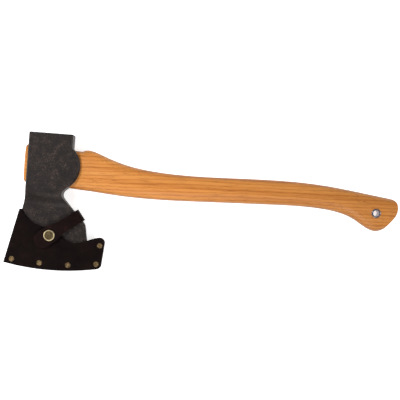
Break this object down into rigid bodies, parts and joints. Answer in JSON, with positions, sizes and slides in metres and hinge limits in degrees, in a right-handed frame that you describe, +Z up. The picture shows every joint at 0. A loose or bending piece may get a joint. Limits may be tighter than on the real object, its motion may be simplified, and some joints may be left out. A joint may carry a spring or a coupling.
{
  "type": "hatchet",
  "caption": "Bearded carpenter's hatchet: forged head wedged on a curved wooden handle, with a riveted leather edge cover closed by a strap and snap.",
  "frame": {"origin": "bottom centre of the bounding box of the hatchet lying on its cheek, edge cover on", "axes": "+X along the handle from the head to the butt, +Y from the cutting edge to the poll, +Z up through the cheeks"},
  "size_m": [0.5231, 0.1836, 0.035],
  "materials": {
    "forged_steel": "dark forge scale, satin",
    "varnished_hickory": "clear varnish",
    "wedge_wood": "plain",
    "wedge_steel": "mill finish",
    "eyelet_steel": "nickel plated",
    "cover_leather": "oiled",
    "strap_leather": "oiled",
    "antique_brass": "antique"
  },
  "bodies": {
    "axe": {"axe_head": "forged_steel", "handle": "varnished_hickory", "eye_wedge": "wedge_wood", "steel_wedge": "wedge_steel", "lanyard_eyelet": "eyelet_steel"},
    "sheath": {"sheath_body": "cover_leather", "sheath_welt": "cover_leather", "edge_rivet_caps": "antique_brass", "edge_rivet_posts": "antique_brass", "strap_base": "strap_leather", "strap_rivet_caps": "antique_brass", "strap_rivet_posts": "antique_brass", "snap_post": "antique_brass", "snap_stud": "antique_brass"},
    "strap": {"strap_bend": "strap_leather", "strap_flap": "strap_leather", "snap_socket": "antique_brass", "snap_cap": "antique_brass"}
  },
  "joints": [
    {"name": "sheath_pull", "type": "slide", "parent": "axe", "child": "sheath", "axis": [-0.2296, -0.9733, 0], "range_m": [0, 0.115]},
    {"name": "strap_swing", "type": "hinge", "parent": "sheath", "child": "strap", "pos_m": [-0.16467, -0.01695, 0.00926], "axis": [-0.599, 0.8007, 0], "range_deg": [0, 105], "deforming": ["strap_bend"]}
  ]
}
